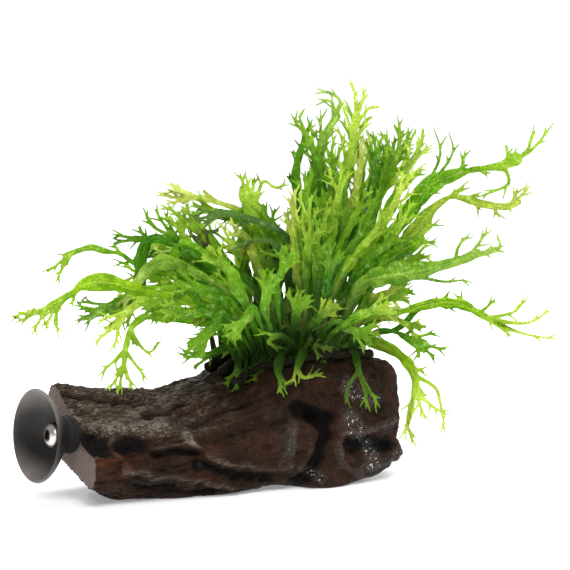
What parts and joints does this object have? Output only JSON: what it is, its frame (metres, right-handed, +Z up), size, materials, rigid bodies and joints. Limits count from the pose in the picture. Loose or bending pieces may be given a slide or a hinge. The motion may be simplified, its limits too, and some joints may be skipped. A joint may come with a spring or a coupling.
{
  "type": "aquarium fern on driftwood",
  "caption": "Java fern with forked, crested fronds growing on a chunk of driftwood, with a rubber suction cup screwed to its sawn end.",
  "frame": {"origin": "on the flat underside of the wood, below its middle line and about halfway along it", "axes": "+Z up, +X along the wood away from the suction cup, +Y from the front of the wood to its back"},
  "size_m": [0.2243, 0.1233, 0.1719],
  "materials": {
    "driftwood": "satin",
    "rubber": "matte",
    "steel": "polished",
    "rhizome": "satin",
    "frond": "gloss"
  },
  "bodies": {
    "root": {"driftwood": "driftwood", "suction_cup": "rubber", "screw": "steel", "rhizome_front": "rhizome", "rhizome_middle": "rhizome", "rhizome_back": "rhizome", "frond_01": "frond", "frond_02": "frond", "frond_03": "frond", "frond_04": "frond", "frond_05": "frond", "frond_06": "frond", "frond_07": "frond", "frond_08": "frond", "frond_09": "frond", "frond_10": "frond", "frond_11": "frond", "frond_12": "frond", "frond_13": "frond", "frond_14": "frond", "frond_15": "frond", "frond_16": "frond", "frond_17": "frond", "frond_18": "frond", "frond_19": "frond", "frond_20": "frond", "frond_21": "frond", "frond_22": "frond", "frond_23": "frond", "frond_24": "frond", "frond_25": "frond", "frond_26": "frond", "frond_27": "frond", "frond_28": "frond", "frond_29": "frond", "frond_30": "frond", "frond_31": "frond", "frond_32": "frond", "frond_33": "frond", "frond_34": "frond", "frond_35": "frond", "frond_36": "frond", "frond_37": "frond", "frond_38": "frond", "frond_39": "frond", "frond_40": "frond", "frond_41": "frond", "frond_42": "frond", "frond_43": "frond", "frond_44": "frond", "frond_45": "frond", "frond_46": "frond", "frond_47": "frond", "frond_48": "frond", "frond_49": "frond", "frond_50": "frond"}
  },
  "joints": []
}
